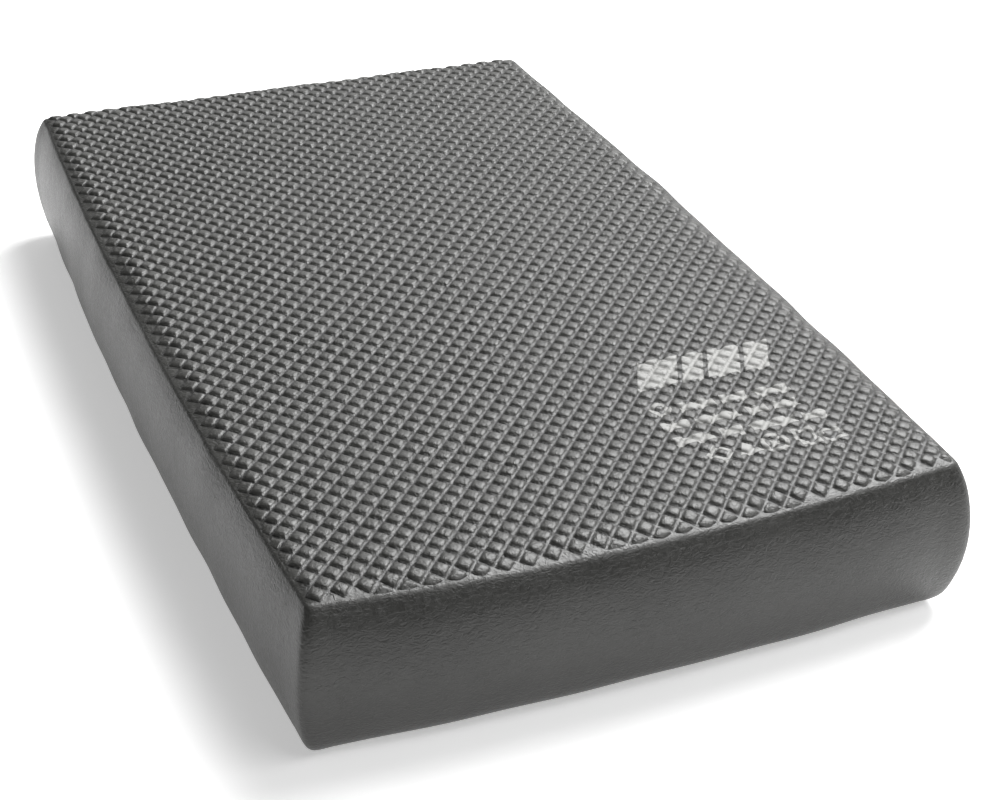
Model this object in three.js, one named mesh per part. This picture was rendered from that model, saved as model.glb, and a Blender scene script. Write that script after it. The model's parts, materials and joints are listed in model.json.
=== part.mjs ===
// A rectangular foam balance pad: a soft closed-cell core inside a moulded skin, with ink marks on the top.
// Every skin surface is one family of outlines: a rectangle with bowed sides, grown outwards and rounded at
// its corners, carried over an edge profile that runs flat across the top, round the side and under the pad.
// Millimetres. X runs across the pad, Y along it and Z up; the origin is the centre of the underside.
import * as THREE from "three";

// Driving dimensions
const LENGTH = 410;
const WIDTH = 250;
const HEIGHT = 60;
const BOW = 4.5; // how far the middle of each side stands out beyond its ends
const EDGE_RUN = 14; // from the rim of the flat face out to the widest line
const SKIN = 1.2;
const GAP = 0.3; // between pieces that touch
const INK = 0.3;
const TOP_SEAM = 46; // height of the line where the top skin meets the side skin
const BOTTOM_SEAM = 14;

// Shape of the rounded edge and of the upright corners
const RUN_POWER = 2.6;
const RISE_POWER = 2.8;
const CORNER_POWER = 5;
const CORNER_STEPS = 6;
const SIDE_STEPS = 4;
const BEND_STEPS = 6;
const WALL_STEPS = 4;

const HALF_HEIGHT = HEIGHT / 2;
const FACE_HEIGHT = HEIGHT - INK - GAP; // the flat of the top skin, which the ink stands on
const FLAT_X = WIDTH / 2 - BOW - EDGE_RUN;
const FLAT_Y = LENGTH / 2 - BOW - EDGE_RUN;

const skinMaterial = new THREE.MeshStandardMaterial({ color: 0x5d5e5b, roughness: 0.55, metalness: 0 });
const coreMaterial = new THREE.MeshStandardMaterial({ color: 0x6a6b68, roughness: 0.95, metalness: 0 });
const inkMaterial = new THREE.MeshStandardMaterial({ color: 0xd2d2cd, roughness: 0.6, metalness: 0 });

// The outline of the pad where its edge has run out by `grow` from the flat face, anticlockwise from +X.
function outline(grow) {
  const points = [];
  const bow = (share) => BOW * (1 - share * share);
  const corners = [
    { x: 1, y: 1, start: 0 },
    { x: -1, y: 1, start: 1 },
    { x: -1, y: -1, start: 0 },
    { x: 1, y: -1, start: 1 },
  ];
  for (const { x, y, start } of corners) {
    for (let i = 0; i <= CORNER_STEPS; i++) {
      const turn = ((start ? CORNER_STEPS - i : i) / CORNER_STEPS) * (Math.PI / 2);
      const out = (side) => grow * Math.max(0, side) ** (2 / CORNER_POWER);
      points.push(
        new THREE.Vector2(x * (FLAT_X + out(Math.cos(turn))), y * (FLAT_Y + out(Math.sin(turn)))),
      );
    }
    for (let i = 1; i < SIDE_STEPS; i++) {
      const along = 1 - (2 * i) / SIDE_STEPS;
      const acrossEnd = x === y; // the corners at (+,+) and (-,-) lead onto the short ends
      points.push(
        acrossEnd
          ? new THREE.Vector2(x * along * FLAT_X, y * (FLAT_Y + bow(along) + grow))
          : new THREE.Vector2(x * (FLAT_X + bow(along) + grow), y * along * FLAT_Y),
      );
    }
  }
  return points;
}

// Height above or below the middle of the pad at an angle round the edge, for a profile set in by `inset`.
// Angle 0 is the rim of the flat face and a quarter turn is the widest line.
function edgePoint(angle, inset, faceDrop = 0) {
  return {
    grow: (EDGE_RUN - inset) * Math.sin(angle) ** (2 / RUN_POWER),
    rise: (HALF_HEIGHT - inset - faceDrop) * Math.max(0, Math.cos(angle)) ** (2 / RISE_POWER),
  };
}

// The angle at which a profile set in by `inset` stands `rise` above or below the middle.
function angleAt(rise, inset, faceDrop = 0) {
  return Math.acos((rise / (HALF_HEIGHT - inset - faceDrop)) ** (RISE_POWER / 2));
}

// Rings of the profile from the flat face (side 1 is the top, -1 the underside) out to a height.
function bendRings(side, inset, height, faceDrop = 0) {
  const last = angleAt(Math.abs(height - HALF_HEIGHT), inset, faceDrop);
  return Array.from({ length: BEND_STEPS + 1 }, (_, i) => {
    const { grow, rise } = edgePoint((last * i) / BEND_STEPS, inset, faceDrop);
    return { grow, height: HALF_HEIGHT + side * rise };
  });
}

// Rings of the upright wall between two heights.
function wallRings(inset, from, to) {
  return Array.from({ length: WALL_STEPS + 1 }, (_, i) => {
    const height = from + ((to - from) * i) / WALL_STEPS;
    const { grow } = edgePoint(angleAt(Math.abs(height - HALF_HEIGHT), inset), inset);
    return { grow, height };
  });
}

// A closed solid through a chain of rings. An open chain is closed by a flat face at each end, and a looped
// one joins its last ring to its first.
function solidThrough(rings, looped) {
  const loops = rings.map(({ grow, height }) => outline(grow).map((p) => [p.x, p.y, height]));
  const count = loops[0].length;
  const vertices = loops.flat();
  const triangles = [];
  const joins = looped ? loops.length : loops.length - 1;
  for (let r = 0; r < joins; r++) {
    const upper = r * count;
    const lower = ((r + 1) % loops.length) * count;
    for (let i = 0; i < count; i++) {
      const j = (i + 1) % count;
      triangles.push([upper + i, lower + i, lower + j], [upper + i, lower + j, upper + j]);
    }
  }
  if (!looped) {
    for (const [ring, up] of [[0, true], [loops.length - 1, false]]) {
      const middle = vertices.push([0, 0, rings[ring].height]) - 1;
      for (let i = 0; i < count; i++) {
        const a = ring * count + i;
        const b = ring * count + ((i + 1) % count);
        triangles.push(up ? [middle, a, b] : [middle, b, a]);
      }
    }
  }
  const geometry = new THREE.BufferGeometry();
  geometry.setAttribute("position", new THREE.Float32BufferAttribute(vertices.flat(), 3));
  geometry.setIndex(triangles.flat());
  geometry.computeVertexNormals();
  return geometry;
}

function addMesh(group, name, geometry, material) {
  const mesh = new THREE.Mesh(geometry, material);
  mesh.name = name;
  group.add(mesh);
  return mesh;
}

// The foam inside, clear of every skin.
function foamCore() {
  const inset = SKIN + GAP;
  const faceDrop = HEIGHT - FACE_HEIGHT;
  const widest = HALF_HEIGHT;
  const upper = bendRings(1, inset, widest, faceDrop);
  const lower = bendRings(-1, inset, widest).reverse().slice(1);
  return solidThrough([...upper, ...lower], false);
}

// A shallow tray of skin over one face of the pad, as far round the edge as its seam.
function faceSkin(side, seam, faceDrop) {
  const rim = seam + (side * GAP) / 2;
  const outer = bendRings(side, 0, rim, faceDrop);
  const inner = bendRings(side, SKIN, rim, faceDrop).reverse();
  const chain = [...outer, ...inner];
  return solidThrough(side > 0 ? chain : chain.reverse(), false);
}

// The band of skin round the sides, between the two seams.
function sideSkin() {
  const top = TOP_SEAM - GAP / 2;
  const bottom = BOTTOM_SEAM + GAP / 2;
  return solidThrough([...wallRings(0, top, bottom), ...wallRings(SKIN, bottom, top)], true);
}

// A thin film of ink of any outline, lying on the top skin.
function inkFilm(shape) {
  const geometry = new THREE.ExtrudeGeometry(shape, { depth: INK, bevelEnabled: false, curveSegments: 8 });
  return geometry.translate(0, 0, HEIGHT - INK);
}

// Outlines of the printed marks
function slantedBlock(x, y, width, height, slant) {
  return new THREE.Shape([
    new THREE.Vector2(x, y),
    new THREE.Vector2(x + width, y),
    new THREE.Vector2(x + width + slant, y + height),
    new THREE.Vector2(x + slant, y + height),
  ]);
}

function disc(x, y, radius) {
  return new THREE.Shape().absarc(x, y, radius, 0, 2 * Math.PI, false);
}

function ring(x, y, outer, inner) {
  const shape = disc(x, y, outer);
  shape.holes.push(new THREE.Path().absarc(x, y, inner, 0, 2 * Math.PI, true));
  return shape;
}

function polygon(x, y, radius, corners, turn) {
  return Array.from({ length: corners }, (_, i) => {
    const angle = turn + (2 * Math.PI * i) / corners;
    return new THREE.Vector2(x + radius * Math.cos(angle), y + radius * Math.sin(angle));
  });
}

function hollowDiamond(x, y, outer, inner) {
  const shape = new THREE.Shape(polygon(x, y, outer, 4, 0));
  shape.holes.push(new THREE.Path(polygon(x, y, inner, 4, 0).reverse()));
  return shape;
}

function rectanglePath(x, y, width, height) {
  return [
    new THREE.Vector2(x, y),
    new THREE.Vector2(x + width, y),
    new THREE.Vector2(x + width, y + height),
    new THREE.Vector2(x, y + height),
  ];
}

function rectangleFrame(x, y, width, height, line) {
  const shape = new THREE.Shape(rectanglePath(x, y, width, height));
  const hole = rectanglePath(x + line, y + line, width - 2 * line, height - 2 * line);
  shape.holes.push(new THREE.Path(hole.reverse()));
  return shape;
}

// Ink marks in one corner of the top: a row of slanted blocks, three rows of dashes and a row of small signs.
const BLOCKS = { x: 31.5, y: -116.6, height: 17.8, slant: 8.5, gap: 1.9, widths: [16, 8.5, 13, 10] };
const DASHES = [
  { x: 40.2, y: -133.9, widths: [13.5, 10.5, 13.5] },
  { x: 28.6, y: -143.8, widths: [10.5, 16.5, 7.7, 9.5] },
  { x: 28.7, y: -153.7, widths: [14.4, 8.7, 17.5, 9.3] },
];
const DASH_HEIGHT = 4.8;
const DASH_GAP = 3;
const SIGN_Y = -162.5; // the middle of the row of signs
const SIGN_RADIUS = 5.2;
const SIGN_LINE = 1.6;

// Adds a row of shapes that stand side by side, numbered from the left.
function addRow(group, name, x, widths, gap, shapeAt) {
  let left = x;
  widths.forEach((width, i) => {
    addMesh(group, `${name}_${i + 1}`, inkFilm(shapeAt(left, width)), inkMaterial);
    left += width + gap;
  });
}

function printMarks(group) {
  const { height, slant } = BLOCKS;
  addRow(group, "print_block", BLOCKS.x, BLOCKS.widths, BLOCKS.gap, (left, width) =>
    slantedBlock(left, BLOCKS.y, width, height, slant),
  );
  DASHES.forEach(({ x, y, widths }, row) => {
    addRow(group, `print_line_${row + 1}_dash`, x, widths, DASH_GAP, (left, width) =>
      new THREE.Shape(rectanglePath(left, y, width, DASH_HEIGHT)),
    );
  });
  const signs = {
    print_ring: ring(33.4, DASHES[0].y + 3.6, 4.1, 1.9),
    print_diamond: hollowDiamond(39.7, SIGN_Y, SIGN_RADIUS, SIGN_RADIUS - 2),
    print_triangle: new THREE.Shape(polygon(50.3, SIGN_Y - 1, SIGN_RADIUS, 3, Math.PI / 2)),
    print_target_ring: ring(60.8, SIGN_Y, SIGN_RADIUS, SIGN_RADIUS - SIGN_LINE),
    print_target_dot: disc(60.8, SIGN_Y, 2),
    print_frame_tall: rectangleFrame(69, SIGN_Y - 5, 8, 10, SIGN_LINE),
    print_frame_low: rectangleFrame(78, SIGN_Y - 5, 9, 7, SIGN_LINE),
  };
  for (const [name, shape] of Object.entries(signs)) addMesh(group, name, inkFilm(shape), inkMaterial);
}

const pad = new THREE.Group();
addMesh(pad, "foam_core", foamCore(), coreMaterial);
addMesh(pad, "top_skin", faceSkin(1, TOP_SEAM, HEIGHT - FACE_HEIGHT), skinMaterial);
addMesh(pad, "side_skin", sideSkin(), skinMaterial);
addMesh(pad, "bottom_skin", faceSkin(-1, BOTTOM_SEAM, 0), skinMaterial);
printMarks(pad);

export default pad;
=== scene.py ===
"""A foam balance pad with a raised diamond grip and pale printed marks, lying in a plain studio.

Metres, Z up. The pad lies on the floor at z = 0, with the middle of its underside at the origin, its length
along Y and its printed corner at +X, -Y.
"""

from __future__ import annotations

import json
import logging
import math
from collections.abc import Iterable, Iterator
from contextlib import contextmanager
from dataclasses import dataclass, replace
from enum import Enum
from functools import cached_property
from typing import Any

import bmesh
import bpy
import numpy as np
from mathutils import Matrix, Vector

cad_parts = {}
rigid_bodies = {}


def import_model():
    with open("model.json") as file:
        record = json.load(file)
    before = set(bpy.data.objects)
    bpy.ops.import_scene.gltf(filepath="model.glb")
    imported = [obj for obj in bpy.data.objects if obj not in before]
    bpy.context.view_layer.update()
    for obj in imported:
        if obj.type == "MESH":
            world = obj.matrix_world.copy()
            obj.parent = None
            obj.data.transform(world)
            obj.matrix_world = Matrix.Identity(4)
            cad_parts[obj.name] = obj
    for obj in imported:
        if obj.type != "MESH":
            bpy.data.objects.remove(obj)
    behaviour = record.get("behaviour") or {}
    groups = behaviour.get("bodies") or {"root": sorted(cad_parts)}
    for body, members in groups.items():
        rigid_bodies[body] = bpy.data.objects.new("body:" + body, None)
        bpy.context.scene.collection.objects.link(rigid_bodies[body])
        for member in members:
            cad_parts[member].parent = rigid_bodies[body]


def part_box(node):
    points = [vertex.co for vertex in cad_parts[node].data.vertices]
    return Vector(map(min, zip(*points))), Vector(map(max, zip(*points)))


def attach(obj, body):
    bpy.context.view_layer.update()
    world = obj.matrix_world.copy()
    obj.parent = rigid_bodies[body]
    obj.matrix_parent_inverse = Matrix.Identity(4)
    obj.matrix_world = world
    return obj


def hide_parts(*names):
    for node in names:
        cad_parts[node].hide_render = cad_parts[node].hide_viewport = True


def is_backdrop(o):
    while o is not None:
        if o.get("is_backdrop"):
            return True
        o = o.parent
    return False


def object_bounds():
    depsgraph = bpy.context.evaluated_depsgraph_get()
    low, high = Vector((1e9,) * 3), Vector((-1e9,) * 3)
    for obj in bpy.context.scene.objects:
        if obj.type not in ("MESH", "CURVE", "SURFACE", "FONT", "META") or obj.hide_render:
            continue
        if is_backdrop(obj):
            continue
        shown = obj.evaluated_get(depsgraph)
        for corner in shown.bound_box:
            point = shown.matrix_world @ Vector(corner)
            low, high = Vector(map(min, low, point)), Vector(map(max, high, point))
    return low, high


LOG = logging.getLogger("balance_pad")
MM = 0.001
TINY = 1e-9  # keeps a division by a distance of nothing from failing
QUARTERS = tuple(k * math.pi / 2 for k in range(4))
SENSOR_WIDTH = 36.0  # in millimetres, like the lens
CROWN_RISE = 0.9 * MM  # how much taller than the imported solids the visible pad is
UNDER_BENDS = ((3.0 * MM, 46.0), (6.0 * MM, 71.0))  # the lower edge is rounder than the upper one


# ---------------------------------------------------------------------------------------------------------
# Shader maths


class Signal:
    """One value in a shader tree that takes part in Python arithmetic."""

    def __init__(self, shader: Shader, socket: bpy.types.NodeSocket) -> None:
        """Wraps an output socket of one of the shader's nodes."""
        self.shader = shader
        self.socket = socket

    def _math(self, operation: str, first: Operand, second: Operand) -> Signal:
        """Adds a Math node.

        Args:
            operation: The Math node's operation.
            first: Its first input.
            second: Its second input.

        Returns:
            The node's result.
        """
        return self.shader.node("ShaderNodeMath", {"operation": operation}, {0: first, 1: second})

    def __add__(self, other: Operand) -> Signal:
        """Returns self + other."""
        return self._math("ADD", self, other)

    def __radd__(self, other: Operand) -> Signal:
        """Returns other + self."""
        return self._math("ADD", other, self)

    def __sub__(self, other: Operand) -> Signal:
        """Returns self - other."""
        return self._math("SUBTRACT", self, other)

    def __mul__(self, other: Operand) -> Signal:
        """Returns self * other."""
        return self._math("MULTIPLY", self, other)

    def ramp(self, low: float, high: float) -> Signal:
        """Returns a smooth step from 0 at low to 1 at high.

        Args:
            low: The value that gives 0.
            high: The value that gives 1.

        Returns:
            The stepped value.
        """
        settings = {"interpolation_type": "SMOOTHSTEP"}
        inputs = {"Value": self, "From Min": low, "From Max": high}
        return self.shader.node("ShaderNodeMapRange", settings, inputs)


Operand = Signal | float


class Shader:
    """A material under construction, whose nodes all come from one method."""

    def __init__(self, name: str) -> None:
        """Starts an empty node material with this name."""
        self.material = bpy.data.materials.new(name)
        self.material.use_nodes = True
        self.tree = self.material.node_tree
        self.tree.nodes.clear()
        coordinates = self.tree.nodes.new("ShaderNodeTexCoord")
        self.place = Signal(self, coordinates.outputs["Object"])

    def node(
        self,
        kind: str,
        settings: dict[str, Any],
        inputs: dict[str | int, Any],
        output: str | int = 0,
    ) -> Signal:
        """Adds a node, sets it up and links it.

        Args:
            kind: The node's type.
            settings: Properties of the node, set before its sockets.
            inputs: A value or a Signal for each named or numbered socket.
            output: The output socket that is wanted.

        Returns:
            The wanted output.
        """
        made = self.tree.nodes.new(kind)
        for name, value in settings.items():
            setattr(made, name, value)
        for name, value in inputs.items():
            if isinstance(value, Signal):
                self.tree.links.new(value.socket, made.inputs[name])
            else:
                made.inputs[name].default_value = value
        return Signal(self, made.outputs[output])

    def noise(self, scale: float, detail: float = 2.0, where: Signal | None = None, **more: float) -> Signal:
        """Adds a noise texture.

        Args:
            scale: Cells to a metre.
            detail: How many finer layers it has.
            where: The coordinates, or None for the object's own.
            more: Other sockets of the texture, such as Roughness or Distortion.

        Returns:
            The noise, about 0.5 on average.
        """
        inputs = {"Vector": where or self.place, "Scale": scale, "Detail": detail, **more}
        return self.node("ShaderNodeTexNoise", {}, inputs)

    def stretched(self, scale: tuple[float, float, float]) -> Signal:
        """Returns the object's coordinates scaled along each axis."""
        return self.node("ShaderNodeMapping", {}, {"Vector": self.place, "Scale": scale})

    def attribute(self, name: str) -> Signal:
        """Returns a value stored on the mesh's points."""
        return self.node("ShaderNodeAttribute", {"attribute_name": name}, {}, "Fac")

    def blend(self, factor: Operand, first: Any, second: Any) -> Signal:
        """Mixes two colours.

        Args:
            factor: 0 for the first colour and 1 for the second.
            first: A colour or a Signal.
            second: A colour or a Signal.

        Returns:
            The mixed colour.
        """
        return self.node("ShaderNodeMix", {"data_type": "RGBA"}, {0: factor, 6: first, 7: second}, 2)

    def bump(self, height: Signal, distance: float, strength: float, under: Signal | None = None) -> Signal:
        """Adds a bump.

        Args:
            height: The height map, about 0 to 1.
            distance: The depth of a full step in metres.
            strength: The share of that depth that shows.
            under: A bump that this one lies on.

        Returns:
            The bent normal.
        """
        inputs: dict[str | int, Any] = {"Height": height, "Distance": distance, "Strength": strength}
        if under is not None:
            inputs["Normal"] = under
        return self.node("ShaderNodeBump", {}, inputs)

    def finish(self, sockets: dict[str | int, Any]) -> bpy.types.Material:
        """Ends the material in a Principled shader.

        Args:
            sockets: Values and Signals for the shader's sockets.

        Returns:
            The finished material.
        """
        surface = self.node("ShaderNodeBsdfPrincipled", {}, sockets)
        output = self.tree.nodes.new("ShaderNodeOutputMaterial")
        self.tree.links.new(surface.socket, output.inputs["Surface"])
        return self.material


def linear(red: int, green: int, blue: int) -> tuple[float, float, float, float]:
    """Turns a screen colour into the linear one that shaders take.

    Args:
        red: 0 to 255.
        green: 0 to 255.
        blue: 0 to 255.

    Returns:
        The linear colour with full alpha.
    """
    parts = [c / 255 for c in (red, green, blue)]
    curved = [p / 12.92 if p <= 0.04045 else ((p + 0.055) / 1.055) ** 2.4 for p in parts]
    return (curved[0], curved[1], curved[2], 1.0)


# ---------------------------------------------------------------------------------------------------------
# Finishes


@dataclass(frozen=True)
class Texture:
    """A noise pattern that stands out as a bump."""

    scale: float  # cells to a metre
    detail: float
    depth: float  # of a full step, in metres
    strength: float  # the share of the depth that shows
    roughness: float = 0.5
    distortion: float = 0.0
    stretch: tuple[float, float, float] | None = None  # a further scale along each axis

    def bump(self, shader: Shader, under: Signal | None = None) -> Signal:
        """Adds the texture to a material.

        Args:
            shader: The material under construction.
            under: A bump that this one lies on.

        Returns:
            The bent normal.
        """
        where = shader.stretched(self.stretch) if self.stretch else None
        more = {"Roughness": self.roughness, "Distortion": self.distortion}
        pattern = shader.noise(self.scale, self.detail, where, **more)
        return shader.bump(pattern, self.depth, self.strength, under)


@dataclass(frozen=True)
class SkinFinish:
    """The moulded skin: dark grey and satin, mottled and speckled, with dents, wrinkles and a fine grain.

    The mesh's point attribute for wear and painted shade, from 0 to 1, makes it paler where it is worn, and
    from
    0 to -1 it paints shade into the valleys of the grip, darkest at the bumps' feet.
    """

    dark: tuple[int, int, int] = (43, 43, 41)
    pale: tuple[int, int, int] = (52, 52, 50)
    rubbed: tuple[int, int, int] = (60, 60, 58)
    # painted shade: the near-black colour that the grip's valleys and the bumps' feet turn towards
    crevice_shade: tuple[int, int, int] = (6, 6, 6)
    mottling_scale: float = 40  # cells to a metre
    speckle_scale: float = 650
    mottled: float = 0.6  # the mottling's share in the tone, the rest being the speckle's
    tone_band: tuple[float, float] = (0.35, 0.65)  # from all dark to all pale
    wear: float = 0.6  # how far the most worn places turn to the rubbed colour
    wear_band: tuple[float, float] = (0.25, 0.7)  # of the speckle, from not worn to worn
    shade: float = 0.85  # painted shade: how far the lowest places of the grip turn to the crevice colour
    roughness: float = 0.40
    patches: tuple[float, float] = (0.16, 0.10)  # of the roughness, by the speckle and by the mottling
    dents: Texture = Texture(120, 2, 0.6 * MM, 0.4)
    wrinkles: Texture = Texture(1.0, 2, 0.32 * MM, 0.9, distortion=1.6, stretch=(420, 420, 720))
    grain: Texture = Texture(1500, 3, 0.05 * MM, 0.5, roughness=0.6)

    def build(self) -> bpy.types.Material:
        """Returns the material."""
        shader = Shader("moulded_skin")
        mottling = shader.noise(self.mottling_scale, 3, Roughness=0.6)
        speckle = shader.noise(self.speckle_scale)
        wear_and_shade = shader.attribute("wear_and_shade")
        tone = (mottling * self.mottled + speckle * (1 - self.mottled)).ramp(*self.tone_band)
        base = shader.blend(tone, linear(*self.dark), linear(*self.pale))
        worn = wear_and_shade.ramp(0.0, 1.0) * self.wear * speckle.ramp(*self.wear_band)
        above = shader.blend(worn, base, linear(*self.rubbed))
        # Painted shade: the valleys of the grip, darkest at the bumps' feet, turn towards the crevice colour.
        painted_valley_shade = (wear_and_shade * -1.0).ramp(0.0, 1.0) * self.shade
        colour = shader.blend(painted_valley_shade, above, linear(*self.crevice_shade))
        fine, broad = self.patches
        roughness = self.roughness + (speckle - 0.5) * fine + (mottling - 0.5) * broad
        normal = self.grain.bump(shader, self.wrinkles.bump(shader, self.dents.bump(shader)))
        return shader.finish({"Base Color": colour, "Roughness": roughness, "Normal": normal})


@dataclass(frozen=True)
class CoreFinish:
    """Closed-cell foam: matt grey, with small round cells."""

    wall: tuple[int, int, int] = (104, 104, 101)
    cell: tuple[int, int, int] = (70, 70, 68)
    cells_to_a_metre: float = 900
    wall_band: tuple[float, float] = (0.25, 0.6)  # of the distance from a cell's middle
    cell_depth: float = 0.3 * MM
    cell_strength: float = 0.7  # the share of the depth that shows
    roughness: float = 0.92

    def build(self) -> bpy.types.Material:
        """Returns the material."""
        shader = Shader("closed_cell_foam")
        inputs = {"Vector": shader.place, "Scale": self.cells_to_a_metre, "Randomness": 0.9}
        cells = shader.node("ShaderNodeTexVoronoi", {"feature": "SMOOTH_F1"}, inputs)
        wall = cells.ramp(*self.wall_band)
        colour = shader.blend(wall, linear(*self.cell), linear(*self.wall))
        normal = shader.bump(wall, self.cell_depth, self.cell_strength)
        return shader.finish({"Base Color": colour, "Roughness": self.roughness, "Normal": normal})


@dataclass(frozen=True)
class InkFinish:
    """Matt pale ink, thin enough to be a little uneven."""

    thick: tuple[int, int, int] = (142, 142, 140)
    thin: tuple[int, int, int] = (102, 102, 100)
    cover_scale: float = 520  # cells to a metre
    cover_band: tuple[float, float] = (0.3, 0.55)  # from thin to thick
    roughness: float = 0.55
    patches: float = 0.2  # of the roughness
    grain: Texture = Texture(1500, 2, 0.04 * MM, 0.5)

    def build(self) -> bpy.types.Material:
        """Returns the material."""
        shader = Shader("pale_ink")
        cover = shader.noise(self.cover_scale, 3, Roughness=0.6)
        colour = shader.blend(cover.ramp(*self.cover_band), linear(*self.thin), linear(*self.thick))
        roughness = self.roughness + (cover - 0.5) * self.patches
        normal = self.grain.bump(shader)
        return shader.finish({"Base Color": colour, "Roughness": roughness, "Normal": normal})


@dataclass(frozen=True)
class PaperFinish:
    """White paper, lit a little from below."""

    white: tuple[int, int, int] = (238, 238, 238)
    fibre_scale: float = 300  # cells to a metre
    fibre_tone: float = 0.985  # the fibres' share of the white
    glow: float = 0.44
    roughness: float = 0.9
    shine: float = 0.1

    def build(self) -> bpy.types.Material:
        """Returns the material."""
        shader = Shader("white_paper")
        fibre = shader.noise(self.fibre_scale)
        base = linear(*self.white)
        shade = tuple(self.fibre_tone * part for part in base[:3]) + (1.0,)
        sockets = {
            "Base Color": shader.blend(fibre, shade, base),
            "Roughness": self.roughness,
            "Specular IOR Level": self.shine,
            "Emission Color": (1.0, 1.0, 1.0, 1.0),
            "Emission Strength": self.glow,
        }
        return shader.finish(sockets)


# ---------------------------------------------------------------------------------------------------------
# The pad's surface


class Face(Enum):
    """Which of the pad's two broad faces a point of the sheet belongs to."""

    TOP = 1
    UNDER = -1


@dataclass(frozen=True)
class Waves:
    """A sum of slow sine waves, for foam that is never quite flat or straight."""

    depth: float
    cycles: tuple[tuple[float, float, float, float], ...]  # to a metre along x, y and z, then the phase

    def at(self, points: np.ndarray) -> np.ndarray:
        """Works out the waves' height at each point.

        Args:
            points: Places in metres, one in each row.

        Returns:
            Distances in metres, both ways from zero.
        """
        total = np.zeros(len(points))
        for *cycles, phase in self.cycles:
            total += np.sin(2 * np.pi * (points @ np.array(cycles)) + phase)
        return self.depth * total / math.sqrt(len(self.cycles))


DENTS = Waves(
    0.27 * MM,
    (
        (5.0, 8.5, 3.0, 0.4),
        (-7.0, 13.0, 6.0, 2.1),
        (11.0, -5.5, 9.0, 4.4),
        (14.0, 19.0, -7.0, 1.3),
        (-3.0, 27.0, 12.0, 5.2),
        (22.0, 3.5, 15.0, 3.0),
    ),
)


@dataclass(frozen=True)
class Bulge:
    """A broad, low rise, highest at one place."""

    height: float
    middle: tuple[float, float]
    reach: tuple[float, float]

    def at(self, points: np.ndarray) -> np.ndarray:
        """Works out the rise at each point.

        Args:
            points: Places in metres, one in each row.

        Returns:
            Heights in metres.
        """
        away = np.clip(np.abs(points[:, :2] - self.middle) / self.reach, 0, 1)
        return self.height * np.prod(np.cos(away * np.pi / 2) ** 2, axis=1)


@dataclass(frozen=True)
class Swell:
    """A slow rise of the top that also carries the grip's bumps along with it."""

    shape: Waves | Bulge
    carry: tuple[float, float]  # how far across and along, to each metre of rise


SWELLS = (
    Swell(Waves(0.25 * MM, ((-5.0, 0.75, 0.0, 3.475),)), (2.0, 5.2)),
    Swell(Bulge(0.3 * MM, (0.10, 0.02), (0.16, 0.17)), (3.3, 7.4)),
)


def drawn_in(places: np.ndarray, edge: float, share: np.ndarray) -> np.ndarray:
    """Keeps only a share of how far places reach beyond an edge, on either side of zero.

    Args:
        places: Distances from zero, with their signs.
        edge: The edge's distance from zero.
        share: The share that is kept, for each place.

    Returns:
        The places, moved.
    """
    return np.sign(places) * (np.abs(places) - np.maximum(0, np.abs(places) - edge) * (1 - share))


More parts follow.
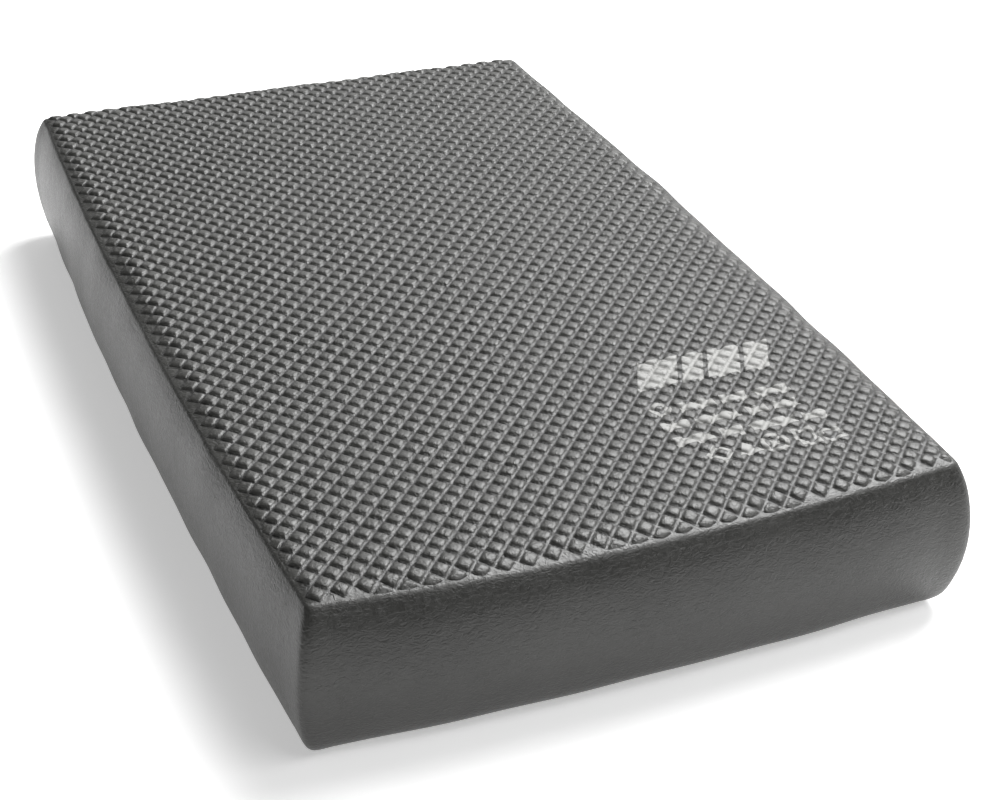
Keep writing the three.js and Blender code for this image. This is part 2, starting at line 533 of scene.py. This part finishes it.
@dataclass(frozen=True)
class PadSurface:
    """The skin between the bumps: two flat faces with bevelled rims that bend round into bowed sides.

    A place on it is given on a flat sheet, as if the skin were unrolled from a face: u across the pad and v
    along it, in metres from the middle. The bevel widens towards the middle of each side, which bows it out.
    """

    length: float
    width: float
    height: float
    bow: float = 4.7 * MM
    bevel: tuple[float, float] = (2.4 * MM, 2.7 * MM)  # its least width, at the sides and at the ends
    slope: float = 16.0  # of the bevel, in degrees
    rim: float = 1.4 * MM
    bends: tuple[tuple[float, float], ...] = ((2.0 * MM, 57.0), (11.0 * MM, 75.0))  # lengths and end slopes
    margin: float = 13.0 * MM  # from the flat face to the widest line, seen from above, bevel left out
    relief: float = 1.05 * MM
    lean: float = 0.0005  # how much the top rises towards +X
    tuck: float = 2.3 * MM  # how much less the bends run out at the sides than at the ends
    corner_power: float = 6.0  # rounds the upright corners: 2 would make them circles
    corner_steps: int = 18
    corner_crowding: float = 1.6  # draws the corners' points towards the diagonal
    spacing: float = 4.4 * MM  # of the points along the sides and the ends
    profile_steps: int = 1500
    probe: float = 0.02 * MM  # how far to each side the skin's slope is sampled
    looseness: float = 0.3  # the share of the dents that shows in the middle of the top
    inner_loops: tuple[float, ...] = (1, 0.85, 0.7, 0.55, 0.4, 0.25, 0.1)  # as shares of the flat face

    @cached_property
    def turns(self) -> tuple[np.ndarray, np.ndarray]:
        """Distances along the skin at which its slope starts to turn at another rate, and the slopes."""
        lengths = [self.rim] + [length for length, _ in self.bends]
        slopes = np.radians([0.0, self.slope] + [slope for _, slope in self.bends] + [90.0])
        sines = -np.diff(np.cos(slopes)) / np.diff(slopes)
        cosines = np.diff(np.sin(slopes)) / np.diff(slopes)
        lengths.append((self.half_drop - float(np.dot(lengths, sines[:-1]))) / sines[-1])
        level = self.margin - float(np.dot(lengths, cosines))
        return np.cumsum([0.0, level] + lengths), np.concatenate(([0.0], slopes))

    @property
    def crease(self) -> float:
        """The distance beyond the flat face at which the bevel starts."""
        return float(self.turns[0][2])

    @cached_property
    def profile(self) -> tuple[np.ndarray, np.ndarray, np.ndarray]:
        """Distance along the skin from the flat face, with the run out and the drop there, bevel left out."""
        places, slopes = self.turns
        distance = np.linspace(0, places[-1], self.profile_steps)
        slope = np.interp(distance, places, slopes)
        step = distance[1]
        run = np.concatenate(([0], np.cumsum(np.cos((slope[1:] + slope[:-1]) / 2)) * step))
        drop = np.concatenate(([0], np.cumsum(np.sin((slope[1:] + slope[:-1]) / 2)) * step))
        return distance, run, drop * self.half_drop / drop[-1]

    @property
    def half_drop(self) -> float:
        """The drop from the flat face to the widest line."""
        return self.height / 2 - self.relief

    @property
    def flat(self) -> np.ndarray:
        """Half the width and half the length of the flat face."""
        run = self.margin + (np.array(self.bevel) + self.bow) * math.cos(math.radians(self.slope))
        return np.array((self.width, self.length)) / 2 - run + (self.tuck, 0)

    @property
    def reach(self) -> float:
        """The distance along the skin to the widest line, bevel left out."""
        return float(self.profile[0][-1])

    def distance_to(self, height: float) -> float:
        """Finds how far along the skin it comes to a height above the middle of the pad, bevel left out.

        Args:
            height: Metres above or below the middle.

        Returns:
            Metres along the skin.
        """
        distance, _, drop = self.profile
        return float(np.interp(self.half_drop - abs(height), drop, distance))

    def norm(self, x: np.ndarray, y: np.ndarray) -> np.ndarray:
        """Returns the length of (x, y), worked out with the corners' power in place of 2."""
        return (x**self.corner_power + y**self.corner_power) ** (1 / self.corner_power)

    def edge(self, u: np.ndarray, v: np.ndarray) -> tuple[np.ndarray, np.ndarray, np.ndarray]:
        """Finds where places on the sheet lie against the edge of the flat face.

        Args:
            u: Places across the sheet.
            v: Places along the sheet.

        Returns:
            How far each is beyond the flat face, how much of that is sideways, and the bevel's width there.
        """
        flat = self.flat
        beyond_x = np.maximum(0, np.abs(u) - flat[0])
        beyond_y = np.maximum(0, np.abs(v) - flat[1])
        distance = self.norm(beyond_x, beyond_y)
        sideways = (beyond_x / np.maximum(distance, TINY)) ** self.corner_power
        side = self.bevel[0] + self.bow * (1 - np.clip(np.abs(v) / flat[1], 0, 1) ** 2)
        end = self.bevel[1] + self.bow * (1 - np.clip(np.abs(u) / flat[0], 0, 1) ** 2)
        return distance, sideways, end + (side - end) * sideways

    def _bend(self, u: np.ndarray, v: np.ndarray) -> tuple[np.ndarray, np.ndarray]:
        """Bends the sheet over the pad.

        Args:
            u: Places across the sheet.
            v: Places along the sheet.

        Returns:
            The points of the skin and their distances from the flat face.
        """
        distance, sideways, bevel = self.edge(u, v)
        inner = np.minimum(distance, self.crease) + np.maximum(0, distance - self.crease - bevel)
        slid = distance - inner
        along, run, drop = self.profile
        slope = math.radians(self.slope)
        start = float(np.interp(self.crease, along, run))
        beyond = np.maximum(0, np.interp(inner, along, run) - start)
        out = np.interp(inner, along, run) + slid * math.cos(slope)
        out -= beyond * sideways * self.tuck / (self.margin - start)
        down = np.interp(inner, along, drop) + slid * math.sin(slope)
        down *= self.half_drop / (self.half_drop + bevel * math.sin(slope))
        share = out / np.maximum(distance, TINY)
        x, y = drawn_in(u, self.flat[0], share), drawn_in(v, self.flat[1], share)
        return np.column_stack((x, y, self.height - self.relief - down)), distance

    def place(self, sheet: np.ndarray, face: Face) -> np.ndarray:
        """Carries places on the sheet over the pad.

        Args:
            sheet: Rows of u, v and the lift off the skin.
            face: The face that the sheet starts from.

        Returns:
            The points in space.
        """
        u, v, lift = sheet.T
        points, distance = self._bend(u, v)
        across = self._bend(u + self.probe, v)[0] - self._bend(u - self.probe, v)[0]
        along = self._bend(u, v + self.probe)[0] - self._bend(u, v - self.probe)[0]
        normals = np.cross(across, along)
        normals /= np.linalg.norm(normals, axis=1, keepdims=True)
        if face is Face.UNDER:
            points[:, 2] = self.height - points[:, 2]
            normals[:, 2] *= -1
        turned = np.clip(distance / self.margin, 0, 1)
        freedom = turned * turned * (3 - 2 * turned)
        if face is Face.TOP:
            freedom = self.looseness + (1 - self.looseness) * freedom
        points += normals * (lift + freedom * DENTS.at(points))[:, None]
        rise = self.lean * points[:, 0] + sum(swell.shape.at(points) for swell in SWELLS)
        points[:, 2] *= 1 + rise / self.height
        return points

    def loop(self, inner: float, slid: float = 1.0, lift: float = 0.0) -> np.ndarray:
        """Draws a closed line round the sheet, anticlockwise.

        Args:
            inner: Its distance beyond the flat face, bevel left out.
            slid: The share of the bevel that it has passed.
            lift: Its height off the skin.

        Returns:
            Rows of u, v and lift.
        """
        flat = self.flat
        across, along = (round(span / self.spacing) for span in (self.width, self.length))
        even = np.linspace(-1, 1, self.corner_steps + 1)
        angle = (1 + np.sign(even) * np.abs(even) ** self.corner_crowding) * np.pi / 4
        ray = np.column_stack((np.cos(angle), np.sin(angle)))
        ray /= self.norm(ray[:, 0], ray[:, 1])[:, None]
        bevel = self.bevel[1] + (self.bevel[0] - self.bevel[1]) * ray[:, 0] ** self.corner_power
        corner = flat + ray * (inner + slid * bevel)[:, None]
        share = np.linspace(1, -1, across + 1)[1:-1]
        out = inner + slid * (self.bevel[1] + self.bow * (1 - share**2))
        end = np.column_stack((share * flat[0], flat[1] + out))
        share = np.linspace(1, -1, along + 1)[1:-1]
        out = inner + slid * (self.bevel[0] + self.bow * (1 - share**2))
        side = np.column_stack((-flat[0] - out, share * flat[1]))
        half = np.vstack((corner, end, corner[::-1] * (-1, 1), side))
        whole = np.vstack((half, -half))
        return np.column_stack((whole, np.full(len(whole), lift)))

    def inside(self, lift: float) -> list[np.ndarray]:
        """Draws loops over the flat face, from its edge almost to its middle.

        Args:
            lift: Their height off the skin.

        Returns:
            Loops of rows of u, v and lift.
        """
        rim = self.loop(self.crease - self.rim / 2, 0.0)
        return [rim * (share, share, 0) + (0, 0, lift) for share in self.inner_loops]


# ---------------------------------------------------------------------------------------------------------
# Mesh helpers


def new_object(name: str, mesh: bpy.types.Mesh) -> bpy.types.Object:
    """Links a new object to the scene.

    Args:
        name: The object's name.
        mesh: Its mesh, already in place.

    Returns:
        The object, at the origin.
    """
    mesh.name = name
    made = bpy.data.objects.new(name, mesh)
    bpy.context.scene.collection.objects.link(made)
    return made


def only(obj: bpy.types.Object) -> bpy.types.Object:
    """Selects one object, makes it active and returns it."""
    bpy.ops.object.select_all(action="DESELECT")
    obj.select_set(True)
    bpy.context.view_layer.objects.active = obj
    return obj


@contextmanager
def editing() -> Iterator[None]:
    """Keeps the active object in edit mode."""
    bpy.ops.object.mode_set(mode="EDIT")
    yield
    bpy.ops.object.mode_set(mode="OBJECT")


def smooth(obj: bpy.types.Object, degrees: float = 60) -> None:
    """Shades an object smooth, except across edges sharper than an angle."""
    only(obj)
    bpy.ops.object.shade_smooth_by_angle(angle=math.radians(degrees))


def solid_from_loops(name: str, loops: list[np.ndarray], ring: bool) -> bpy.types.Object:
    """Joins loops of points into a closed solid.

    Args:
        name: The object's name.
        loops: Loops with the same number of points, in order over the surface.
        ring: Whether the last loop joins the first; if not, both ends are closed with fans.

    Returns:
        The solid, with its faces outwards.
    """
    count = len(loops[0])
    points = list(np.vstack(loops))
    after = np.roll(np.arange(count), -1)
    faces = []
    pairs = len(loops) if ring else len(loops) - 1
    for level in range(pairs):
        low, high = level * count, (level + 1) % len(loops) * count
        faces += [(low + i, low + int(j), high + int(j), high + i) for i, j in enumerate(after)]
    if not ring:
        for level in (0, len(loops) - 1):
            points.append(loops[level].mean(axis=0))
            centre = len(points) - 1
            faces += [(level * count + i, level * count + int(j), centre) for i, j in enumerate(after)]
    mesh = bpy.data.meshes.new(name)
    mesh.from_pydata([tuple(p) for p in points], [], faces)
    turn_outwards(mesh)
    return new_object(name, mesh)


def turn_outwards(mesh: bpy.types.Mesh) -> None:
    """Turns the faces of a closed mesh outwards."""
    work = bmesh.new()
    work.from_mesh(mesh)
    bmesh.ops.recalc_face_normals(work, faces=work.faces)
    if work.calc_volume(signed=True) < 0:
        bmesh.ops.reverse_faces(work, faces=work.faces)
    work.to_mesh(mesh)
    work.free()


# ---------------------------------------------------------------------------------------------------------
# The pad


@dataclass(frozen=True)
class BumpRing:
    """One ring of eight points round a bump, on a diamond whose corners are cut off."""

    size: float  # as a share of the diamond that a bump has to itself
    cut: float  # how much of each side the cut corners take, up to a half
    lift: float  # as a share of the relief

    @property
    def points(self) -> np.ndarray:
        """The ring's points in half pitches, two at each corner, anticlockwise."""
        near, far = self.size * self.cut, self.size * (1 - self.cut)
        pair = np.array(((far, -near), (far, near)))
        turns = [np.array(((math.cos(a), math.sin(a)), (-math.sin(a), math.cos(a)))) for a in QUARTERS]
        return np.vstack([pair @ turn for turn in turns])


def _faces(*corners: np.ndarray) -> list[tuple[int, ...]]:
    """Makes one face from each row of point numbers, given corner by corner."""
    return [tuple(face) for face in np.column_stack(corners).tolist()]


def _bump_faces(rows: list[np.ndarray]) -> list[tuple[int, ...]]:
    """Joins the rings of every bump.

    Args:
        rows: The point numbers of the shared outlines and of each ring in turn, one bump in each row.

    Returns:
        The faces of all the bumps.
    """
    faces = []
    rim, foot = rows[:2]
    for k in range(0, 8, 2):
        faces += _faces(rim[:, k], foot[:, k], foot[:, k + 1])
        faces += _faces(rim[:, k], rim[:, k + 1], foot[:, k + 1])
        faces += _faces(rim[:, k + 1], foot[:, (k + 2) % 8], foot[:, k + 1])
        faces += _faces(rim[:, k + 1], rim[:, (k + 2) % 8], foot[:, (k + 2) % 8])
    for k in range(8):
        n = (k + 1) % 8
        for outer, inner in zip(rows[1:], rows[2:]):
            faces += _faces(outer[:, k], outer[:, n], inner[:, n], inner[:, k])
    return faces + _faces(*rows[-1].T)


@dataclass
class GripSkin:
    """The skin over one face: a field of raised diamonds that runs over the bevel, and a plain margin.

    Its attribute for wear and painted shade is 0 on plain skin and up to 1 on the crowns of the bumps, where
    they are worn. It is below 0 in the valleys between them, where shade is painted, and lowest at their
    feet.
    """

    surface: PadSurface
    name: str
    node: str
    face: Face
    seam: float  # its lower edge, in metres from the middle of the pad
    pitch: tuple[float, float] = (7.98 * MM, 8.37 * MM)
    start: tuple[float, float] = (-2.6 * MM, 0.5 * MM)
    stop: float = 0.5 * MM  # how near the bevel's lower edge the middles of the bumps come
    squeeze: float = 1.0 * MM  # the strip along that edge that takes whatever reaches past it
    filled: float = 0.93  # the share of the strip that it can fill
    sink: float = 1.5 * MM  # the strip along that edge in which bumps sink into the skin
    edge_fade: tuple[float, float] = (1.0, 0.3)  # how much lower they get over the bevel, at sides and ends
    # painted shade: values of the wear and shade attribute at the bumps' feet and in the valleys between them
    foot_shade: float = -1.0
    valley_shade: float = -0.85
    valley_shade_fade: float = 0.4  # the share of the bevel over which the valleys' painted shade fades to nothing
    scatter: float = 0.07 * MM  # of the bumps' middles
    unevenness: float = 0.05  # of their heights
    spare: float = 0.02  # how far beyond the pad bumps are tried
    margin_step: float = 2.2 * MM
    bevel_foot_steps: int = 4
    lip: float = 0.4  # the share of the bevel at which the inner face has one more loop
    sharp: float = 56  # degrees between faces that still look smooth
    thickness: float = 1.1 * MM
    seed: int = 7
    rings: tuple[BumpRing, ...] = (
        BumpRing(0.86, 0.07, 0.0),
        BumpRing(0.74, 0.12, 0.62),
        BumpRing(0.58, 0.20, 0.93),
        BumpRing(0.32, 0.28, 1.0),
    )

    def _cells(self) -> tuple[np.ndarray, np.ndarray]:
        """Chooses the diamonds that fit on the face.

        Returns:
            Whole-number places of their middles, in half pitches, and how high each stands from 0 to 1.
        """
        reach = np.array((self.surface.width, self.surface.length)) / 2 + self.spare
        counts = np.ceil(reach / np.array(self.pitch) * 2).astype(int)
        columns, rows = np.meshgrid(*(np.arange(-n, n + 1) for n in counts), indexing="ij")
        cells = np.column_stack((columns.ravel(), rows.ravel()))
        cells = cells[cells.sum(axis=1) % 2 == 0]
        places = cells * np.array(self.pitch) / 2 + self.start
        places += self._drift(places)
        distance, sideways, bevel = self.surface.edge(*places.T)
        past = distance - self.surface.crease
        share = np.clip(past / bevel, 0, 1)
        fade = self.edge_fade[1] + (self.edge_fade[0] - self.edge_fade[1]) * sideways
        chosen = past <= bevel - self.stop
        return cells[chosen], (1 - fade * share)[chosen]

    def _drift(self, places: np.ndarray) -> np.ndarray:
        """Works out how far the swell of the foam carries places on the sheet.

        Args:
            places: Rows of u and v.

        Returns:
            What to add to each row.
        """
        points = np.column_stack((places, np.zeros(len(places))))
        return sum(swell.shape.at(points)[:, None] * swell.carry for swell in SWELLS)

    def _squeezed(self, sheet: np.ndarray) -> np.ndarray:
        """Presses the outermost bumps together and sinks them, so that they end at the bevel's lower edge.

        Args:
            sheet: Rows of u, v and lift.

        Returns:
            The same rows, moved.
        """
        u, v, lift = sheet.T
        distance, _, bevel = self.surface.edge(u, v)
        free = self.surface.crease + bevel - self.squeeze
        over = np.maximum(0, distance - free)
        lift = lift * np.clip((free + self.squeeze - distance) / self.sink, 0, 1)
        pressed = free + self.filled * self.squeeze * (1 - np.exp(-over / self.squeeze))
        share = np.where(over > 0, pressed / np.maximum(distance, TINY), 1.0)
        flat = self.surface.flat
        return np.column_stack((drawn_in(u, flat[0], share), drawn_in(v, flat[1], share), lift))

    def _field(self) -> tuple[np.ndarray, np.ndarray, list[tuple[int, ...]]]:
        """Models the field of raised diamonds on the flat sheet.

        Returns:
            Rows of u, v and lift, each point's wear or painted shade, and the faces.
        """
        cells, strength = self._cells()
        turn = np.array([(2, 0), (1, 1), (0, 2), (-1, 1), (-2, 0), (-1, -1), (0, -2), (1, -1)])
        rims = (cells[:, None, :] * 2 + turn[None]).reshape(-1, 2)
        shared, index = np.unique(rims, axis=0, return_inverse=True)
        half = np.array(self.pitch) / 2
        start = np.array(self.start)
        webs = shared * half / 2 + start
        points = [np.column_stack((webs, np.zeros(len(shared))))]
        distance, _, bevel = self.surface.edge(*(webs + self._drift(webs)).T)
        faded = (distance - self.surface.crease) / (self.valley_shade_fade * bevel)
        # Painted shade in the valleys, fading out over the bevel.
        wear_and_shade_values = [self.valley_shade * np.clip(1 - faded, 0, 1)]
        total = len(shared)
        random = np.random.default_rng(self.seed)
        middles = cells * half + start + random.normal(0, self.scatter, (len(cells), 2))
        strength = strength * (1 - np.abs(random.normal(0, self.unevenness, len(cells))))
        rows = [index.reshape(len(cells), 8)]
        for ring in self.rings:
            spread = middles[:, None, :] + ring.points[None] * half
            lift = np.repeat(ring.lift * strength * self.surface.relief, 8)
            points.append(np.column_stack((spread.reshape(-1, 2), lift)))
            # The crowns take their lift as wear; the feet take the deepest painted shade.
            wear_and_shade_values.append(np.full(len(cells) * 8, ring.lift or self.foot_shade))
            rows.append(total + np.arange(len(cells) * 8).reshape(-1, 8))
            total += len(cells) * 8
        sheet = np.vstack(points)
        sheet[:, :2] += self._drift(sheet[:, :2])
        return self._squeezed(sheet), np.concatenate(wear_and_shade_values), _bump_faces(rows)

    def _margin_loops(self) -> list[np.ndarray]:
        """Draws the plain margin from the bevel's lower edge to the seam, and the inner face from there."""
        surface = self.surface
        crease, first_bend = surface.crease, surface.bends[0][0]
        shoulder = crease + first_bend
        seam = surface.distance_to(self.seam)
        steps = math.ceil((seam - shoulder) / self.margin_step)
        outer = [crease + first_bend * k / self.bevel_foot_steps for k in range(self.bevel_foot_steps)]
        outer += [shoulder + (seam - shoulder) * k / steps for k in range(steps + 1)]
        loops = [surface.loop(distance) for distance in outer]
        loops += [surface.loop(distance, 1.0, -self.thickness) for distance in (seam, shoulder, crease)]
        loops.append(surface.loop(crease, self.lip, -self.thickness))
        return loops + surface.inside(-self.thickness)

    def build(self, finish: bpy.types.Material) -> bpy.types.Object:
        """Models the skin.

        Args:
            finish: The moulded skin's material.

        Returns:
            The finished piece.
        """
        points, wear_and_shade_values, faces = self._field()
        mesh = bpy.data.meshes.new(self.name)
        mesh.from_pydata([tuple(p) for p in points], [], faces)
        work = bmesh.new()
        work.from_mesh(mesh)
        # Wear on the crowns and painted shade in the valleys, for the skin's material.
        wear_and_shade = work.verts.layers.float.new("wear_and_shade")
        for vertex, value in zip(work.verts, wear_and_shade_values):
            vertex[wear_and_shade] = value
        ragged = [edge for edge in work.edges if edge.is_boundary]
        loops = [[work.verts.new(p) for p in loop] for loop in self._margin_loops()]
        first = [work.edges.new((a, b)) for a, b in zip(loops[0], loops[0][1:] + loops[0][:1])]
        bmesh.ops.triangle_fill(work, use_beauty=True, edges=ragged + first, normal=(0, 0, 1))
        for near, far in zip(loops, loops[1:]):
            for i in range(len(near)):
                j = (i + 1) % len(near)
                work.faces.new((near[i], near[j], far[j], far[i]))
        centre = work.verts.new((0, 0, -self.thickness))
        last = loops[-1]
        for a, b in zip(last, last[1:] + last[:1]):
            work.faces.new((a, b, centre))
        work.to_mesh(mesh)
        work.free()
        sheet = np.empty(len(mesh.vertices) * 3)
        mesh.vertices.foreach_get("co", sheet)
        placed = self.surface.place(sheet.reshape(-1, 3), self.face)
        mesh.vertices.foreach_set("co", placed.ravel())
        turn_outwards(mesh)
        obj = new_object(self.name, mesh)
        obj.data.materials.append(finish)
        smooth(obj, self.sharp)
        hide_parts(self.node)
        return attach(obj, "root")


@dataclass
class SideBand:
    """The smooth skin round the sides, between the two seams."""

    surfaces: dict[Face, PadSurface]
    name: str
    node: str
    seams: tuple[float, float]  # heights above and below the middle of the pad
    steps: int = 11
    thickness: float = 1.1 * MM

    def _loops(self, lift: float, steps: int) -> list[np.ndarray]:
        """Draws loops down the side.

        Args:
            lift: Their height off the skin.
            steps: How many steps each half of the side takes.

        Returns:
            The loops in space, from the upper seam to the lower one.
        """
        loops = []
        for (face, surface), seam in zip(self.surfaces.items(), self.seams):
            start = surface.distance_to(seam)
            places = [start + (surface.reach - start) * k / steps for k in range(steps + 1)]
            placed = [surface.place(surface.loop(d, 1.0, lift), face) for d in places]
            loops += placed if face is Face.TOP else placed[-2::-1]
        return loops

    def build(self, finish: bpy.types.Material) -> bpy.types.Object:
        """Models the band.

        Args:
            finish: The moulded skin's material.

        Returns:
            The finished piece.
        """
        outer = self._loops(0.0, self.steps)
        inner = self._loops(-self.thickness, 2)
        obj = solid_from_loops(self.name, outer + inner[::-1], ring=True)
        obj.data.attributes.new("wear_and_shade", "FLOAT", "POINT")
        obj.data.materials.append(finish)
        smooth(obj)
        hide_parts(self.node)
        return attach(obj, "root")


@dataclass
class FoamCore:
    """The block of closed-cell foam that fills the skins."""

    surfaces: dict[Face, PadSurface]
    name: str
    node: str
    inset: float = 1.3 * MM
    steps: int = 12

    def build(self, finish: bpy.types.Material) -> bpy.types.Object:
        """Models the core.

        Args:
            finish: The foam's material.

        Returns:
            The finished piece.
        """
        halves = []
        for face, surface in self.surfaces.items():
            crease, widest = surface.crease, surface.reach
            places = [crease + (widest - crease) * k / self.steps for k in range(self.steps + 1)]
            loops = surface.inside(-self.inset)[::-1]
            loops += [surface.loop(distance, 1.0, -self.inset) for distance in places]
            halves.append([surface.place(loop, face) for loop in loops])
        upper, lower = halves[0], halves[1][-2::-1]
        obj = solid_from_loops(self.name, upper + lower, ring=False)
        obj.data.materials.append(finish)
        smooth(obj)
        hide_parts(self.node)
        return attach(obj, "root")


@dataclass
class InkPrint:
    """The printed marks: films of ink that lie over the grip's bumps."""

    skin: bpy.types.Object
    nodes: list[str]
    clearance: float = 0.02 * MM  # between the skin and the ink
    film: float = 0.05 * MM
    border: float = 3 * MM  # how much further than the marks the sheet goes
    depth: float = 1.9 * MM  # how far down the bumps it goes, from the marks' upper faces
    reach: float = 3 * MM  # how far above and below the flat marks their outlines cut
    weld: float = 0.01 * MM

    def _ink_sheet(self) -> bpy.types.Object:
        """Lifts a thin sheet off the grip, over the whole printed corner.

        Returns:
            A working object that the marks are cut from.
        """
        boxes = [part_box(node) for node in self.nodes]
        low = Vector(min(box[0][k] for box in boxes) - self.border for k in range(3))
        high = Vector(max(box[1][k] for box in boxes) + self.border for k in range(3))
        low.z = high.z - self.border - self.depth
        sheet = only(new_object("ink_sheet", self.skin.data.copy()))
        sheet.data.materials.clear()
        with editing():
            bpy.ops.mesh.select_mode(type="FACE")
            bpy.ops.mesh.select_all(action="DESELECT")
        for polygon in sheet.data.polygons:
            centre = polygon.center
            polygon.select = not all(low[k] < centre[k] < high[k] for k in range(3))
        with editing():
            bpy.ops.mesh.delete(type="FACE")
            bpy.ops.mesh.select_all(action="SELECT")
            bpy.ops.transform.shrink_fatten(value=self.clearance)
        thicken = sheet.modifiers.new("film", "SOLIDIFY")
        thicken.thickness = self.film
        thicken.offset = 1
        bpy.ops.object.modifier_apply(modifier=thicken.name)
        return sheet

    def _mark(self, node: str, sheet: bpy.types.Object, finish: bpy.types.Material) -> bpy.types.Object:
        """Cuts one mark out of the ink sheet.

        Args:
            node: The flat mark whose outline is used.
            sheet: The ink sheet.
            finish: The ink's material.

        Returns:
            The finished film.
        """
        flat = bpy.data.objects[node]
        mark = only(new_object(f"{node}_film", flat.data.copy()))
        mark.data.materials.clear()
        low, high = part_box(node)
        stretch = 2 * self.reach / (high.z - low.z)
        with editing():
            bpy.ops.mesh.select_all(action="SELECT")
            bpy.ops.mesh.remove_doubles(threshold=self.weld)
            bpy.ops.transform.resize(value=(1, 1, stretch), center_override=(low + high) / 2)
            bpy.ops.mesh.normals_make_consistent(inside=False)
        cut = mark.modifiers.new("outline", "BOOLEAN")
        cut.operation = "INTERSECT"
        cut.solver = "EXACT"
        cut.object = sheet
        bpy.ops.object.modifier_apply(modifier=cut.name)
        mark.data.materials.clear()
        mark.data.materials.append(finish)
        smooth(mark)
        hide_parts(node)
        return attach(mark, "root")

    def build(self, finish: bpy.types.Material) -> list[bpy.types.Object]:
        """Prints every mark.

        Args:
            finish: The ink's material.

        Returns:
            The finished films.
        """
        sheet = self._ink_sheet()
        marks = [self._mark(node, sheet, finish) for node in self.nodes]
        bpy.data.objects.remove(sheet)
        return marks


# ---------------------------------------------------------------------------------------------------------
# The studio


@dataclass(frozen=True)
class Softbox:
    """A flat rectangular light."""

    name: str
    place: tuple[float, float, float]
    aim: tuple[float, float, float]
    size: tuple[float, float]
    glow: float  # radiance of its face

    def build(self) -> None:
        """Hangs the light."""
        data = bpy.data.lights.new(self.name, "AREA")
        data.shape = "RECTANGLE"
        data.size, data.size_y = self.size
        data.energy = self.glow * math.pi * self.size[0] * self.size[1]
        made = bpy.data.objects.new(self.name, data)
        bpy.context.scene.collection.objects.link(made)
        aim = Vector(self.aim) - Vector(self.place)
        made.matrix_world = Matrix.Translation(self.place) @ aim.to_track_quat("-Z", "Y").to_matrix().to_4x4()


@dataclass
class Studio:
    """The white floor and the lights round the pad."""

    floor_size: float = 9.0
    air: float = 0.12  # light from everywhere
    softboxes: tuple[Softbox, ...] = (
        Softbox("key", place=(0.66, 0.34, 1.14), aim=(0.0, -0.03, 0.0), size=(0.9, 0.9), glow=14.4),
        Softbox("backdrop", place=(0.75, 1.55, 0.85), aim=(0.0, 0.0, 0.1), size=(2.0, 1.1), glow=1.3),
        Softbox("front_fill", place=(0.45, -0.80, 1.15), aim=(0.05, -0.30, 0.0), size=(0.9, 0.5), glow=4.5),
        Softbox("side_fill", place=(1.4, -0.15, 0.45), aim=(0.0, 0.0, 0.03), size=(1.0, 0.6), glow=1.6),
    )

    def build(self) -> None:
        """Lays the floor and sets the lights."""
        bpy.ops.object.select_all(action="DESELECT")
        bpy.ops.mesh.primitive_plane_add(size=self.floor_size, location=(0, 0, 0))
        floor = bpy.context.active_object
        floor.name = "floor"
        floor.data.materials.append(PaperFinish().build())
        floor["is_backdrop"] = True
        for softbox in self.softboxes:
            softbox.build()
        world = bpy.data.worlds.new("studio_air")
        world.use_nodes = True
        background = world.node_tree.nodes["Background"]
        background.inputs["Color"].default_value = (1, 1, 1, 1)
        background.inputs["Strength"].default_value = self.air
        bpy.context.scene.world = world
        bpy.context.scene.view_settings.view_transform = "Standard"


@dataclass(frozen=True)
class Viewpoint:
    """Where the camera stands, from the point it looks at. Angles are in degrees."""

    azimuth: float
    elevation: float
    roll: float
    distance: float
    target: tuple[float, float, float]
    lens: float

    def build(self) -> None:
        """Sets up the scene's camera."""
        turn, rise, tilt = (math.radians(a) for a in (self.azimuth, self.elevation, self.roll))
        back = Vector((math.sin(turn) * math.cos(rise), -math.cos(turn) * math.cos(rise), math.sin(rise)))
        level = back.cross(Vector((0, 0, -1))).normalized()
        upright = level.cross(-back)
        right = level * math.cos(tilt) + upright * math.sin(tilt)
        up = upright * math.cos(tilt) - level * math.sin(tilt)
        data = bpy.data.cameras.new("camera")
        data.lens = self.lens
        data.sensor_width = SENSOR_WIDTH
        camera = bpy.data.objects.new("camera", data)
        bpy.context.scene.collection.objects.link(camera)
        stand = Vector(self.target) + back * self.distance
        axes = Matrix((right, up, back)).transposed().to_4x4()
        camera.matrix_world = Matrix.Translation(stand) @ axes
        bpy.context.scene.camera = camera


MAIN_VIEW = Viewpoint(
    azimuth=-23.774,
    elevation=31.24,
    roll=2.065,
    distance=0.737327,
    target=(0.004088, -0.059056, 0.03),
    lens=1.94888 * SENSOR_WIDTH,
)


def report(pieces: Iterable[bpy.types.Object]) -> None:
    """Logs each piece's name and number of faces."""
    for piece in pieces:
        LOG.info("%s: %d faces", piece.name, len(piece.data.polygons))


def main() -> None:
    """Builds the pad in its studio."""
    logging.basicConfig(level=logging.INFO, format="%(message)s")
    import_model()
    low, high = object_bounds()
    span = high - low
    upper = PadSurface(length=span.y, width=span.x, height=span.z + CROWN_RISE)
    lower = replace(upper, bends=UNDER_BENDS)
    surfaces = {Face.TOP: upper, Face.UNDER: lower}
    middle = upper.height / 2
    upper_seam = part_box("side_skin")[1].z - middle
    lower_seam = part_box("side_skin")[0].z - middle
    skin = SkinFinish().build()
    top = GripSkin(upper, "grip_top", "top_skin", Face.TOP, upper_seam).build(skin)
    side = SideBand(surfaces, "side_band", "side_skin", (upper_seam, lower_seam)).build(skin)
    under = GripSkin(lower, "grip_underside", "bottom_skin", Face.UNDER, lower_seam, seed=11).build(skin)
    core = FoamCore(surfaces, "foam_block", "foam_core").build(CoreFinish().build())
    report([top, side, under, core])
    nodes = sorted(name for name in bpy.data.objects.keys() if name.startswith("print_"))
    report(InkPrint(top, nodes).build(InkFinish().build()))
    Studio().build()
    MAIN_VIEW.build()


if __name__ == "__main__":
    main()
